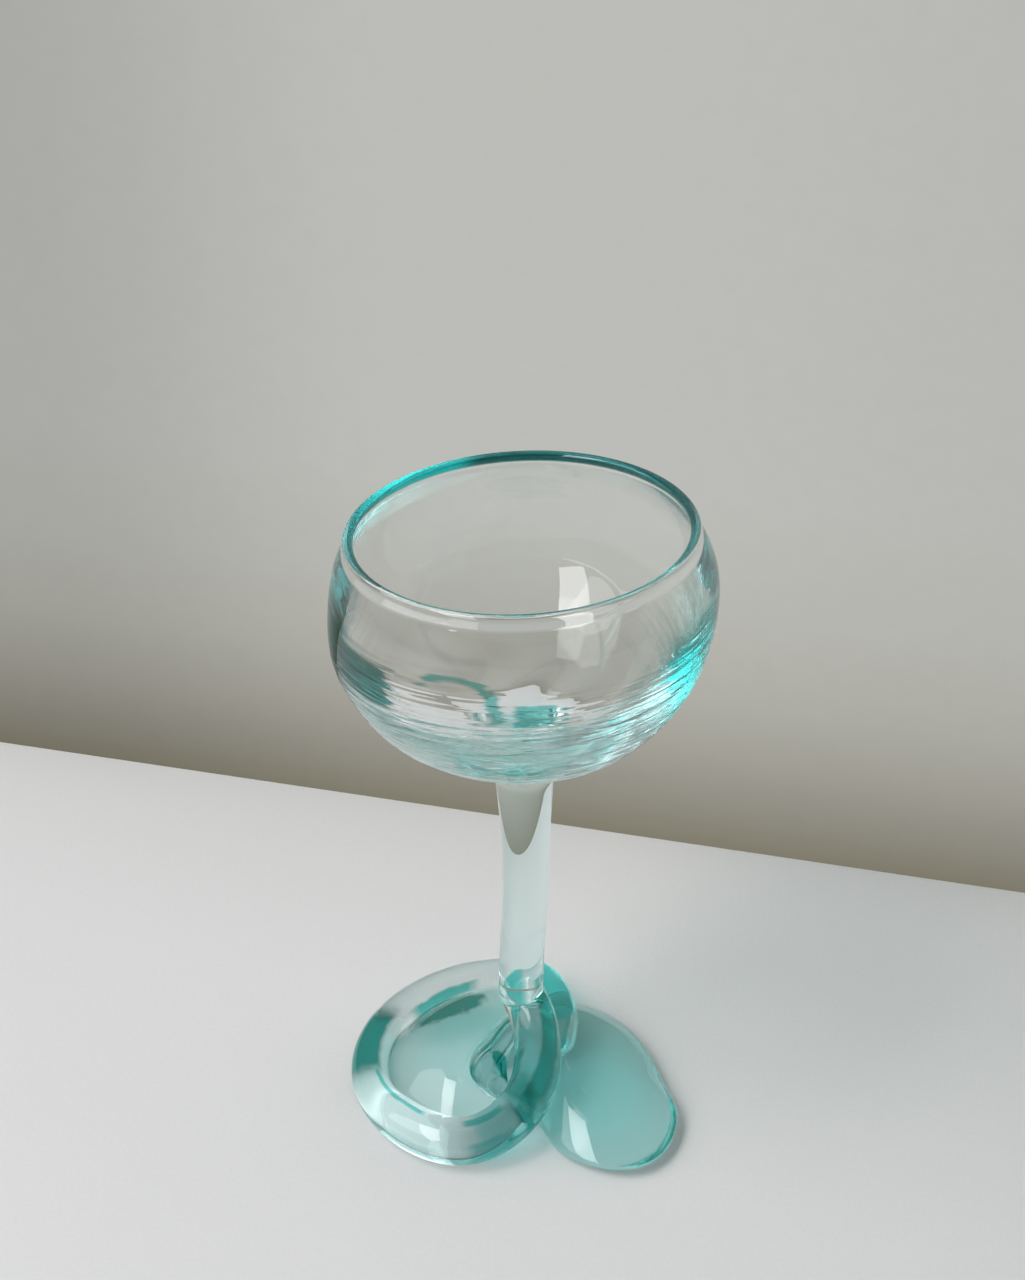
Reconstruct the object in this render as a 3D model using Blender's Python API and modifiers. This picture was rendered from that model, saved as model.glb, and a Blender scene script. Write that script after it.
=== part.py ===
"""Hand-blown coupe glass on a curled foot.

Five hot-joined pieces of one pale aqua glass: a blown bowl, a drawn stem, the rod that curls round
below the stem as a foot ring, the domed disc that fills the ring, and the domed lobe under them.
Metres, +Z up. The origin is on the table, below the stem.
"""

import bpy
import bmesh
from math import atan2, cos, hypot, pi, radians, sin, sqrt
from mathutils import Vector

# Whole glass
HEIGHT = 0.165              # table to the middle of the rim
CLEARANCE = 0.0003          # between two pieces that seat on each other

# Bowl, measured along its own leaning axis
BOWL_DIAMETER = 0.095       # at the widest circle
RIM_DIAMETER = 0.0868       # outside, just under the lip
BOWL_DEPTH = 0.0625         # rim to the outer bottom
SHOULDER = 0.0172           # rim down to the widest circle
WALL = 0.0030
BOTTOM_WALL = 0.0080       # over the stem
BELLY_POWER = 2.1           # 2 is an ellipse, more is fuller
INSIDE_POWER = 2.0          # of the cavity, which leaves the low wall heavier
BOWL_LEAN = radians(2.7)    # toward -X
BOWL_SHIFT = 0.0006         # of the widest circle, toward +X

# Stem
STEM_DIAMETER = 0.0119      # at the narrowest
STEM_TOP_DIAMETER = 0.0172  # at the bowl
STEM_BOW = 0.0013           # sideways, toward +X, at mid height
COLLAR_HEIGHT = 0.026       # where the stem meets the foot rod

# Foot rod: an oval ring, entered from the stem and left behind it
ROD_DIAMETER = 0.0124       # at its thickest, in front
LOOP_CENTRE = (-0.0140, -0.0027)
LOOP_HALF_WIDTH = 0.0251
LOOP_HALF_DEPTH = 0.0353
LOOP_TURN = radians(-14.5)  # long axis away from +Y
LOOP_BULGE = -0.05          # three-sided departure from an oval
ENTRY_ANGLE = radians(17.0)
ENTRY_SHARE = 0.148         # share of a turn to reach the oval
DESCENT_SHARE = 0.27        # share of a turn to come down to the table
TAIL_SHARE = 1.03           # turns made where the tail ends, under the rod's start
TAIL_RISE = 0.004           # the tail climbs onto the lobe
REST_FLAT = 0.0003          # ground off the underside
# Rod thickness along the turn, as shares of ROD_DIAMETER
ROD_TAPER = ((0.0, 0.97), (0.1, 1.0), (0.3, 1.0), (0.5, 0.78), (0.68, 0.81), (0.85, 0.73), (1.0, 0.69))

# Melted pads: the disc and the lobe
DOME_POWER = 0.85           # 1 is a parabola, less has a fuller shoulder
PAD_TUCK = 0.18             # share of the reach drawn in under the edge

# Disc inside the ring
DISC_BITE = 0.0008          # its edge runs into the rod's inner side, before the seat is cut
DISC_EDGE = 0.0045          # height of its widest line
DISC_CROWN = 0.0115         # rise of the dome above the edge

# Lobe under the ring's right side: distances of its edge from its centre, every 30 degrees
LOBE_CENTRE = (0.0130, -0.0125)
LOBE_REACH = (0.0250, 0.0247, 0.0288, 0.0333, 0.0303, 0.0272, 0.0266, 0.0196, 0.0176, 0.0286, 0.0368, 0.0322)
LOBE_THICKNESS = 0.0145     # at the crown
LOBE_EDGE = 0.0040          # height of its widest line

GLASS = (0.74, 0.90, 0.89, 1.0)
FOOT_GLASS = (0.36, 0.66, 0.64, 1.0)


def smooth(t):
    """0 to 1 with level ends."""
    t = min(max(t, 0.0), 1.0)
    return t * t * (3.0 - 2.0 * t)


def between(table, u):
    """Value at u of a table of (u, value) stations, eased from one to the next."""
    for (u0, v0), (u1, v1) in zip(table, table[1:]):
        if u <= u1:
            return v0 + (v1 - v0) * smooth((u - u0) / (u1 - u0))
    return table[-1][1]


def collection(name):
    made = bpy.data.collections.new(name)
    bpy.context.scene.collection.children.link(made)
    return made


def glass(name, colour, roughness=0.03):
    made = bpy.data.materials.new(name)
    made.use_nodes = True
    shader = made.node_tree.nodes["Principled BSDF"]
    shader.inputs["Base Color"].default_value = colour
    shader.inputs["Roughness"].default_value = roughness
    shader.inputs["IOR"].default_value = 1.5
    shader.inputs["Transmission Weight"].default_value = 1.0
    return made


def add(mesh, group, material=None):
    piece = bpy.data.objects.new(mesh.name, mesh)
    group.objects.link(piece)
    if material is not None:
        mesh.materials.append(material)
    else:
        piece.hide_render = True
        piece.display_type = "WIRE"
    return piece


def turned(name, profile, steps, group, material=None):
    """Turn (radius, height) points, listed down the outer side last, about Z."""
    mesh = bpy.data.meshes.new(name)
    points = [(r, 0.0, z) for r, z in profile]
    mesh.from_pydata(points, [(i, i + 1) for i in range(len(points) - 1)], [])
    piece = add(mesh, group, material)
    screw = piece.modifiers.new("turn", "SCREW")
    screw.angle = 2.0 * pi
    screw.steps = screw.render_steps = steps
    screw.use_merge_vertices = True
    screw.merge_threshold = 0.00001
    screw.use_smooth_shade = True
    return piece


def made_mesh(piece):
    """Replace an object by one that holds its evaluated mesh, welded shut."""
    group = piece.users_collection[0]
    depsgraph = bpy.context.evaluated_depsgraph_get()
    mesh = bpy.data.meshes.new_from_object(piece.evaluated_get(depsgraph))
    body = bmesh.new()
    body.from_mesh(mesh)
    bmesh.ops.remove_doubles(body, verts=body.verts, dist=0.000005)
    bmesh.ops.recalc_face_normals(body, faces=body.faces)
    body.to_mesh(mesh)
    body.free()
    mesh.shade_smooth()
    mesh.set_sharp_from_angle(angle=radians(50.0))
    name, matrix = piece.name, piece.matrix_world.copy()
    hidden, display = piece.hide_render, piece.display_type
    bpy.data.objects.remove(piece)
    fresh = bpy.data.objects.new(name, mesh)
    fresh.matrix_world = matrix
    fresh.hide_render, fresh.display_type = hidden, display
    group.objects.link(fresh)
    return fresh


def rod(name, path, radii, group, material=None):
    """Round rod along a path, with its own radius at every point and closed ends."""
    curve = bpy.data.curves.new(name, "CURVE")
    curve.dimensions = "3D"
    curve.bevel_depth = 1.0
    curve.bevel_resolution = 5
    curve.use_fill_caps = True
    line = curve.splines.new("POLY")
    line.points.add(len(path) - 1)
    for point, place, radius in zip(line.points, path, radii):
        point.co = (*place, 1.0)
        point.radius = radius
    return made_mesh(add(curve, group, material))


def pad(name, outline, section, steps, centre, group, material=None):
    """Turned section whose rings are drawn out to an outline: outline(angle) is the reach there."""
    piece = made_mesh(turned(name, section, steps, group, material))
    for vertex in piece.data.vertices:
        x, y, z = vertex.co
        share, angle = hypot(x, y), atan2(y, x)
        reach = outline(angle) * share
        vertex.co = (reach * cos(angle), reach * sin(angle), z)
    piece.location = (*centre, 0.0)
    return piece


def cut(piece, cutter):
    difference = piece.modifiers.new(cutter.name, "BOOLEAN")
    difference.operation = "DIFFERENCE"
    difference.solver = "EXACT"
    difference.object = cutter


def bowl_curve(radius, rim, belly, shoulder, low, power, belly_count, shoulder_count):
    """One side of the wall, from the bottom up: a full belly below the widest circle, then drawn in."""
    points = []
    for i in range(belly_count):
        turn = 0.5 * pi * i / belly_count
        points.append((radius * sin(turn) ** (2.0 / power),
                       low + belly * (1.0 - cos(turn) ** (2.0 / power))))
    for i in range(shoulder_count + 1):
        t = i / shoulder_count
        points.append((radius - (radius - rim) * t * t, low + belly + shoulder * t))
    return points


def bowl_outside(belly_count=13, shoulder_count=5):
    lip = 0.5 * WALL
    return bowl_curve(0.5 * BOWL_DIAMETER, 0.5 * RIM_DIAMETER, BOWL_DEPTH - SHOULDER, SHOULDER - lip, 0.0,
                      BELLY_POWER, belly_count, shoulder_count)


def bowl_profile():
    """Inside from its bottom up to the lip, round the lip, and down the outside."""
    lip = 0.5 * WALL
    inside = bowl_curve(0.5 * BOWL_DIAMETER - WALL, 0.5 * RIM_DIAMETER - WALL,
                        BOWL_DEPTH - SHOULDER - BOTTOM_WALL, SHOULDER - lip, BOTTOM_WALL, INSIDE_POWER, 11, 5)
    middle = 0.5 * RIM_DIAMETER - lip
    rounded = [(middle - lip * cos(pi * i / 4), BOWL_DEPTH - lip + lip * sin(pi * i / 4)) for i in range(1, 4)]
    return inside + rounded + bowl_outside()[::-1]


def loop_oval(angle):
    """Point on the ring's centre line, in plan."""
    bulge = 1.0 + LOOP_BULGE * cos(3.0 * (angle - radians(6.6)))
    x, y = LOOP_HALF_WIDTH * bulge * cos(angle), LOOP_HALF_DEPTH * bulge * sin(angle)
    return (LOOP_CENTRE[0] + x * cos(LOOP_TURN) - y * sin(LOOP_TURN),
            LOOP_CENTRE[1] + x * sin(LOOP_TURN) + y * cos(LOOP_TURN))


def loop_path(count=58, grow=0.0):
    """Centre line and radii of the foot rod, clockwise from the collar to the rounded tail."""
    path, radii = [Vector((0.0, 0.0, COLLAR_HEIGHT))], [0.5 * ROD_DIAMETER * ROD_TAPER[0][1] + grow]
    for i in range(count):
        u = TAIL_SHARE * i / (count - 1)
        radius = 0.5 * ROD_DIAMETER * between(ROD_TAPER, u)
        x, y = loop_oval(ENTRY_ANGLE - 2.0 * pi * u)
        out = smooth(u / ENTRY_SHARE)
        rest = radius - REST_FLAT + TAIL_RISE * smooth((u - 0.76) / 0.14)
        drop = sin(0.5 * pi * min(u / DESCENT_SHARE, 1.0))
        path.append(Vector((x * out, y * out, rest + (COLLAR_HEIGHT - 0.001 - rest) * (1.0 - drop))))
        radii.append(radius + grow)
    ahead, end, last = (path[-1] - path[-2]).normalized(), path[-1].copy(), radii[-1]
    for turn in (30.0, 55.0, 75.0):
        path.append(end + ahead * last * sin(radians(turn)))
        radii.append(last * cos(radians(turn)))
    return path, radii


def disc_outline(angle):
    """Reach from the loop's centre to the disc's edge, along the rod's inner side."""
    low, high = angle - 1.0, angle + 1.0
    for _ in range(30):
        middle = 0.5 * (low + high)
        x, y = loop_oval(middle)
        bearing = atan2(y - LOOP_CENTRE[1], x - LOOP_CENTRE[0])
        if (bearing - angle + pi) % (2.0 * pi) - pi < 0.0:
            low = middle
        else:
            high = middle
    u = (ENTRY_ANGLE - middle) / (2.0 * pi) % 1.0
    share, tail = between(ROD_TAPER, u), ROD_TAPER[-1][1]
    if u < ENTRY_SHARE:
        share = tail + (1.0 - tail) * smooth(u / ENTRY_SHARE)
    return hypot(x - LOOP_CENTRE[0], y - LOOP_CENTRE[1]) - 0.5 * ROD_DIAMETER * share + DISC_BITE


def lobe_outline(angle, grow=0.0):
    """Reach from the lobe's centre to its edge, smooth through LOBE_REACH."""
    count = len(LOBE_REACH)
    place = (angle % (2.0 * pi)) / (2.0 * pi) * count
    i, t = int(place), place - int(place)
    a, b, c, d = (LOBE_REACH[(i + k) % count] for k in (-1, 0, 1, 2))
    return b + 0.5 * t * (c - a + t * (2 * a - 5 * b + 4 * c - d + t * (3 * (b - c) + d - a))) + grow


def pad_section(edge, crown, low=0.0, grow=0.0):
    """Unit-radius section of a melted pad: a dome out to the edge, then tucked under to a flat."""
    points = [(t, edge + crown * (1.0 - t * t) ** DOME_POWER + grow) for t in (0.0, 0.3, 0.55, 0.75, 0.9, 1.0)]
    for turn in (30.0, 60.0, 90.0):
        share = 1.0 - PAD_TUCK * (1.0 - cos(radians(turn)))
        points.append((share, edge * (1.0 - sin(radians(turn))) - grow))
    if low < 0.0:
        points.append((points[-1][0], low))
    return points + [(0.0, low)]


def main():
    for old in list(bpy.data.objects):
        bpy.data.objects.remove(old)

    parts = collection("coupe_glass")
    cutters = collection("coupe_glass_cutters")
    clear = glass("bowl_glass", GLASS)
    rod_glass = glass("stem_glass", GLASS)
    loop_glass = glass("loop_glass", FOOT_GLASS)
    disc_glass = glass("disc_glass", FOOT_GLASS)
    lobe_glass = glass("lobe_glass", FOOT_GLASS)

    # Bowl, leaning about the middle of its widest circle
    belly_depth = BOWL_DEPTH - SHOULDER
    seat = Vector((BOWL_SHIFT + belly_depth * sin(BOWL_LEAN), 0.0, HEIGHT - BOWL_DEPTH * cos(BOWL_LEAN)))
    bowl = turned("bowl", bowl_profile(), 60, parts, clear)
    bowl.location, bowl.rotation_euler.y = seat, -BOWL_LEAN

    # The stem's top is hollowed to the bowl's underside
    belly = bowl_outside(40, 2)[:26]
    bowl_seat = turned("bowl_seat", [(0.0, belly[-1][1])] + belly[::-1], 32, cutters)
    bowl_seat.location = seat - Vector((0.0, 0.0, CLEARANCE))
    bowl_seat.rotation_euler.y = -BOWL_LEAN

    # Stem: slightly bowed, narrowest low down and flared under the bowl
    low, high = COLLAR_HEIGHT + CLEARANCE, seat.z + 0.002
    path, radii = [], []
    for i in range(17):
        t = i / 16
        path.append(Vector((STEM_BOW * sin(pi * t) ** 2 + BOWL_SHIFT * smooth(t), 0.0, low + (high - low) * t)))
        flare = (STEM_TOP_DIAMETER - STEM_DIAMETER) * max(0.0, (t - 0.35) / 0.65) ** 2.2
        radii.append(0.5 * (STEM_DIAMETER + flare))
    stem = rod("stem", path, radii, parts, rod_glass)
    cut(stem, bowl_seat)

    # Foot rod, with its underside level on the table
    bpy.ops.mesh.primitive_cube_add(size=0.3, location=(0.0, 0.0, -0.15))
    table = bpy.context.object
    table.name = "table_level"
    table.hide_render, table.display_type = True, "WIRE"
    for owner in list(table.users_collection):
        owner.objects.unlink(table)
    cutters.objects.link(table)
    loop = rod("foot_loop", *loop_path(), parts, loop_glass)
    cut(loop, table)
    loop_seat = rod("loop_seat", *loop_path(grow=CLEARANCE), cutters)

    # Lobe, pressed by the rod that crosses it
    section = pad_section(LOBE_EDGE, LOBE_THICKNESS - LOBE_EDGE)
    lobe = pad("foot_lobe", lobe_outline, section, 60, LOBE_CENTRE, parts, lobe_glass)
    cut(lobe, loop_seat)
    section = pad_section(LOBE_EDGE, LOBE_THICKNESS - LOBE_EDGE, -0.001, CLEARANCE)
    lobe_seat = pad("lobe_seat", lambda angle: lobe_outline(angle, CLEARANCE), section, 60, LOBE_CENTRE, cutters)

    # Disc, fitted inside the rod and over the lobe's end
    section = pad_section(DISC_EDGE, DISC_CROWN)
    disc = pad("foot_disc", disc_outline, section, 60, LOOP_CENTRE, parts, disc_glass)
    cut(disc, loop_seat)
    cut(disc, lobe_seat)


main()
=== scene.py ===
"""Hand-blown coupe glass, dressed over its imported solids.

The bowl and its drawn stem are one skin, as they are on the blowpipe. The curled foot rod, the pebble
melted inside its curl and the lobe pressed under it are closed bodies that nest with a hair of air between.
Metres, +Z up, the origin on the table under the stem.
"""

import math

import bpy
import numpy as np
from mathutils import Matrix, Vector


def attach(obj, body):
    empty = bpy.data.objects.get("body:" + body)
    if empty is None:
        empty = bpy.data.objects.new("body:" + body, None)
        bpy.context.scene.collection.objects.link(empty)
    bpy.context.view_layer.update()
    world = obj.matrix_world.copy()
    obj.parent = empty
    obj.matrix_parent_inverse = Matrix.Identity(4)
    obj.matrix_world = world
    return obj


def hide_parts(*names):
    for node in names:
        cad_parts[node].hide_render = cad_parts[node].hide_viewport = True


bl_info = {
    "name": "Coupe Glass",
    "version": (1, 0, 0),
    "blender": (4, 5, 0),
    "location": "View3D > Sidebar > Glass",
    "description": "Builds a hand-blown coupe glass with a curled foot, and the table it stands on",
    "category": "Add Mesh",
}

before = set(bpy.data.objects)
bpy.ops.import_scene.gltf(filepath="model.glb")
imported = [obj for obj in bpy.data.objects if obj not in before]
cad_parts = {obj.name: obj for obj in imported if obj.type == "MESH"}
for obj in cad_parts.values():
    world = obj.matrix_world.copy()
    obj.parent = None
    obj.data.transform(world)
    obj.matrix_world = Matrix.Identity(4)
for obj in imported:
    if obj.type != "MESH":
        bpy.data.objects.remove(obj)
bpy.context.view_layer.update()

# Camera: the frame and the focal length in pixels, the pitch below level, the eye, and the table's far edge
PHOTO = (1025, 1280)
FOCAL = 2400.0
PITCH = math.radians(30.45)
EYE = np.array([-0.00229, -0.50765, 0.43247])
TABLE_EDGE = ((0.0, 742.0), (1025.0, 893.0))

# Lamps: the bearings of a pane's foot and head, as degrees left of the front and degrees above the table
WINDOW = ((38.0, 28.0), (95.0, 67.0))
BLIND = ((74.0, 25.0), (98.0, 62.0))

# Stage: how far the table and the wall run, the height over which the wall pales, and the bounces of light
SPREAD = 3.0
WALL_FADE = 0.12
BOUNCES = 300


class BowlSizes(bpy.types.PropertyGroup):
    """Sizes of the blown bowl, along its own leaning axis."""

    height: bpy.props.FloatProperty(
        name="Rim height", description="Table to the middle of the rim", default=0.165, unit="LENGTH")
    width: bpy.props.FloatProperty(
        name="Width", description="Diameter of the widest circle", default=0.0948, unit="LENGTH")
    rim: bpy.props.FloatProperty(
        name="Rim", description="Outside diameter under the lip", default=0.0868, unit="LENGTH")
    depth: bpy.props.FloatProperty(
        name="Depth", description="Rim to the outer bottom", default=0.0625, unit="LENGTH")
    shoulder: bpy.props.FloatProperty(
        name="Shoulder", description="Rim down to the widest circle", default=0.0172, unit="LENGTH")
    wall: bpy.props.FloatProperty(
        name="Wall", description="Thickness of the side", default=0.0030, unit="LENGTH")
    bottom: bpy.props.FloatProperty(
        name="Bottom", description="Thickness over the stem", default=0.0080, unit="LENGTH")
    lip: bpy.props.FloatProperty(
        name="Lip", description="Depth of the rounding on the lip's outside", default=0.0032, unit="LENGTH")
    fullness: bpy.props.FloatProperty(
        name="Fullness", description="2 is an elliptical belly, more is fuller", default=2.1)
    inside: bpy.props.FloatProperty(
        name="Inside fullness", description="Fullness of the cavity", default=2.0)
    lean: bpy.props.FloatProperty(
        name="Lean", description="Tilt of the axis toward -X", default=math.radians(2.7), subtype="ANGLE")
    shift: bpy.props.FloatProperty(
        name="Shift", description="Widest circle toward +X", default=0.0006, unit="LENGTH")
    sag: bpy.props.FloatProperty(
        name="Sag", description="Low belly's drift toward -X", default=0.00155, unit="LENGTH")
    spread: bpy.props.FloatProperty(
        name="Spread", description="Low belly's swelling", default=0.00085, unit="LENGTH")
    swirl: bpy.props.FloatProperty(
        name="Swirl", description="Height of the broad waves inside the bottom",
        default=0.0004, unit="LENGTH")
    marks: bpy.props.FloatProperty(
        name="Tool marks", description="Height of the fine ridges round the belly",
        default=0.00007, unit="LENGTH")


class FootSizes(bpy.types.PropertyGroup):
    """Sizes of the stem and of the foot that it runs into."""

    stem: bpy.props.FloatProperty(
        name="Stem", description="Diameter at its narrowest", default=0.0119, unit="LENGTH")
    stem_top: bpy.props.FloatProperty(
        name="Stem top", description="Diameter under the bowl", default=0.0172, unit="LENGTH")
    bow: bpy.props.FloatProperty(
        name="Bow", description="Sideways bow of the stem", default=0.0009, unit="LENGTH")
    collar: bpy.props.FloatProperty(
        name="Collar", description="Height where the stem begins to curl", default=0.026, unit="LENGTH")
    rod: bpy.props.FloatProperty(
        name="Rod", description="Foot rod's diameter in front", default=0.0124, unit="LENGTH")
    loop_centre: bpy.props.FloatVectorProperty(
        name="Loop centre", description="Middle of the loop in plan", default=(-0.0140, -0.0027), size=2)
    loop_half: bpy.props.FloatVectorProperty(
        name="Loop half sizes", description="Half width and half depth of the loop",
        default=(0.0251, 0.0353), size=2)
    loop_turn: bpy.props.FloatProperty(
        name="Loop turn", description="Loop's long axis away from +Y",
        default=math.radians(-14.5), subtype="ANGLE")
    disc_side: bpy.props.FloatProperty(
        name="Disc side", description="Height where the disc is widest", default=0.0045, unit="LENGTH")
    disc_crown: bpy.props.FloatProperty(
        name="Disc crown", description="Height of the disc's dome", default=0.0160, unit="LENGTH")
    lobe_centre: bpy.props.FloatVectorProperty(
        name="Lobe centre", description="Middle of the lobe in plan", default=(0.0130, -0.0125), size=2)
    lobe_side: bpy.props.FloatProperty(
        name="Lobe side", description="Height where the lobe is widest", default=0.0040, unit="LENGTH")
    lobe_crown: bpy.props.FloatProperty(
        name="Lobe crown", description="Height of the lobe's dome", default=0.0145, unit="LENGTH")
    dish: bpy.props.FloatProperty(
        name="Dish", description="Depth of the cone where the stem sits in the rod",
        default=0.0045, unit="LENGTH")
    gap: bpy.props.FloatProperty(
        name="Gap", description="Air left between melted pieces", default=0.00025, unit="LENGTH")
    lift: bpy.props.FloatProperty(
        name="Lift", description="Air left between the foot and the table", default=0.0002, unit="LENGTH")


class GlassLooks(bpy.types.PropertyGroup):
    """Colours of the glass and of the stage."""

    clear: bpy.props.FloatVectorProperty(
        name="Clear glass", description="Colour that the bowl and stem let through",
        default=(0.16, 0.85, 0.84), size=3, subtype="COLOR")
    clear_density: bpy.props.FloatProperty(
        name="Clear density", description="Absorption per metre of the bowl and stem", default=4.5)
    foot: bpy.props.FloatVectorProperty(
        name="Foot glass", description="Colour that the foot lets through",
        default=(0.22, 0.94, 0.93), size=3, subtype="COLOR")
    foot_density: bpy.props.FloatProperty(
        name="Foot density", description="Absorption per metre of the lobe", default=36.0)
    loop: bpy.props.FloatVectorProperty(
        name="Loop glass", description="Colour that the foot rod lets through",
        default=(0.40, 0.96, 0.95), size=3, subtype="COLOR")
    loop_density: bpy.props.FloatProperty(
        name="Loop density", description="Absorption per metre of the foot rod", default=14.0)
    disc_density: bpy.props.FloatProperty(
        name="Disc density", description="Absorption per metre of the disc", default=18.0)
    table: bpy.props.FloatVectorProperty(
        name="Table", description="Painted table top", default=(0.68, 0.682, 0.686), size=3, subtype="COLOR")


# Lobe's reach at twelve even bearings from its middle, counter-clockwise from +X
LOBE_REACH = np.array([0.0250, 0.0247, 0.0288, 0.0333, 0.0303, 0.0272,
                       0.0266, 0.0196, 0.0176, 0.0286, 0.0368, 0.0322])

# Foot rod: its thickness along the turns, its bearing at the stem, the turns in which it comes out to the
# oval and down to the table, where the stem joins it, where it ends, what is ground off, its tail's lift
ROD_TAPER = np.array([(0.0, 0.97), (0.1, 1.0), (0.3, 1.0), (0.5, 0.78),
                      (0.68, 0.81), (0.85, 0.73), (1.0, 0.69)])
ROD_ENTRY = math.radians(17.0)
ROD_OUT = 0.148
ROD_DOWN = 0.27
ROD_JOIN = 0.010
ROD_TURNS = 1.03
ROD_GROUND = 0.0003
TAIL_LIFT = 0.004
TAIL_FROM = 0.76
TAIL_TAKES = 0.14

# Loop's oval: how far it is three-sided, and the bearing of its flattest side
OVAL_SIDES = 0.05
OVAL_TURN = math.radians(6.6)

# Pads: the power of their domes
DOME_POWER = 0.85

# Fillet under the bowl: its radius on the belly, its drop to the stem, the pull of its ends, and the radii
# between which its rings turn from the bowl's axis to the stem's
FILLET_FROM = 0.0185
FILLET_DROP = 0.0090
FILLET_PULL = 0.014
FILLET_TURNS = (0.026, 0.009)
DOWN = np.array([0.0, 0.0, -1.0])

# Tints of the surface, white where it is clear: the glass's own teal, painted light on the lip and the right
# side, painted shade on the left side and low on the right, and painted refraction of the foot seen through
# the glass
WHITE = (1.0, 1.0, 1.0, 1.0)
BOWL_TINTS_AND_PAINTED_LIGHT = {
    "lip": (0.0006, 0.12, 0.12, 1.0),
    "lip_painted_light_left": (0.002, 0.66, 0.66, 1.0),
    "lip_painted_light_right": (0.006, 0.50, 0.54, 1.0),
    "right": (0.006, 0.42, 0.415, 1.0),
    "painted_shade_patch": (0.003, 0.11, 0.095, 1.0),
    "edge": (0.0003, 0.13, 0.11, 1.0),
    "painted_refraction_stroke": (0.06, 0.44, 0.41, 1.0),
    "painted_refraction_plug": (0.07, 0.47, 0.44, 1.0),
    "painted_shade_low_right": (0.32, 0.31, 0.31, 1.0),
    "painted_refraction_pool": (0.70, 0.95, 0.93, 1.0),
    "painted_refraction_thread": (0.08, 0.36, 0.32, 1.0),
    "stem": (0.90, 1.0, 0.995, 1.0),
}

# Rod's painted shade and light, over its teal glass: first and last turn and their softness, the same round
# the section from -1 inside to 1 outside, the slant that joins the two, and the tint
PAST = 9.0
ROD_PAINTED_SHADE_AND_LIGHT = (
    ((0.465, 0.585, 0.018), (-0.60, PAST, 0.15), 0.0, (0.0001, 0.16, 0.13, 1.0)),  # left bend
    ((0.83, 1.2, 0.03), (-PAST, PAST, 0.1), 0.0, (0.14, 0.78, 0.75, 1.0)),  # tail
    ((0.110, 0.225, 0.012), (-PAST, PAST, 0.1), 0.0, (0.62, 0.95, 0.95, 1.0)),  # pale front
    ((-0.1, 0.155, 0.010), (0.30, 0.95, 0.10), 0.0, (0.001, 0.30, 0.25, 1.0)),  # right side
    ((0.158, 0.170, 0.003), (0.475, PAST, 0.075), 0.0, (0.05, 0.50, 0.46, 1.0)),  # line across
    ((0.180, 0.245, 0.008), (-0.12, 0.26, 0.08), 0.0, (0.03, 0.52, 0.47, 1.0)),  # crest
    ((0.190, 0.240, 0.008), (0.86, PAST, 0.06), 0.0, (0.15, 0.70, 0.66, 1.0)),  # low front
    ((0.098, 0.150, 0.008), (-PAST, -0.40, 0.10), 0.0, (0.02, 0.42, 0.37, 1.0)),  # beside the disc
    ((0.315, 0.470, 0.010), (0.33, 0.58, 0.05), 1.7, (0.03, 0.50, 0.46, 1.0)),  # inner line
    ((0.610, 0.740, 0.015), (-PAST, -0.81, 0.05), 0.0, (0.02, 0.38, 0.32, 1.0)),  # back's inner face
)

# Disc's painted shade: an oval's middle in plan, its turn from +X, its half sizes, and the tint
DISC_PAINTED_SHADE = (
    ((-0.0205, 0.0080), 0.38, (0.0115, 0.0074), (0.0003, 0.19, 0.15, 1.0)),
    ((-0.0047, -0.0145), -1.0, (0.0046, 0.0025), (0.001, 0.26, 0.22, 1.0)),
)

# Ground underside: the heights over which it ends
GROUND_ENDS = (0.0003, 0.0006)


def smooth(t):
    """3t² - 2t³ on 0 to 1, level at both ends."""
    t = np.clip(t, 0.0, 1.0)
    return t * t * (3.0 - 2.0 * t)


def eased(table, u):
    """Value at u of (u, value) stations, eased by smooth from one to the next."""
    i = np.clip(np.searchsorted(table[:, 0], u, side="right") - 1, 0, len(table) - 2)
    t = (u - table[i, 0]) / (table[i + 1, 0] - table[i, 0])
    return table[i, 1] + (table[i + 1, 1] - table[i, 1]) * smooth(t)


def unit(v):
    """Each vector over its length."""
    return v / np.linalg.norm(v, axis=-1, keepdims=True)


def skin(name, rings, first, last, notes=None):
    """Closed mesh from rings[n, m]: quads between rings, wrapped round, and a fan to a pole at each end.

    Notes are more values for each ring point, kept as attributes of the mesh.
    """
    n, m = rings.shape[:2]
    i, j = np.meshgrid(np.arange(n - 1), np.arange(m), indexing="ij")
    k = (j + 1) % m
    quads = np.stack([i * m + j, i * m + k, (i + 1) * m + k, (i + 1) * m + j], -1).reshape(-1, 4)
    j = np.arange(m)
    k = (j + 1) % m
    head = np.stack([np.full(m, n * m), k, j], -1)
    tail = np.stack([np.full(m, n * m + 1), (n - 1) * m + j, (n - 1) * m + k], -1)
    points = np.concatenate([rings.reshape(-1, 3), [first], [last]])
    mesh = bpy.data.meshes.new(name)
    mesh.from_pydata(points.tolist(), [], quads.tolist() + head.tolist() + tail.tolist())
    mesh.shade_smooth()
    mesh.set_sharp_from_angle(angle=math.radians(50))
    for key, value in (notes or {}).items():
        kept = mesh.attributes.new(key, "FLOAT", "POINT")
        kept.data.foreach_set("value", np.concatenate([value.ravel(), [value[0].mean(), value[-1].mean()]]))
    piece = bpy.data.objects.new(name, mesh)
    bpy.context.scene.collection.objects.link(piece)
    return piece


def carried(centres, axes, refs, radii, around):
    """Rings set square to their axis at each centre: c + r (cos a e1 + sin a e2).

    The radii r are one for each ring, or one for each of its points.
    """
    axes = unit(axes)
    e1 = unit(refs - (refs * axes).sum(-1, keepdims=True) * axes)
    e2 = np.cross(axes, e1)
    a = np.linspace(0.0, 2.0 * np.pi, around, endpoint=False)
    ring = np.cos(a)[None, :, None] * e1[:, None] + np.sin(a)[None, :, None] * e2[:, None]
    return centres[:, None] + radii.reshape(len(centres), -1)[..., None] * ring


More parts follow.
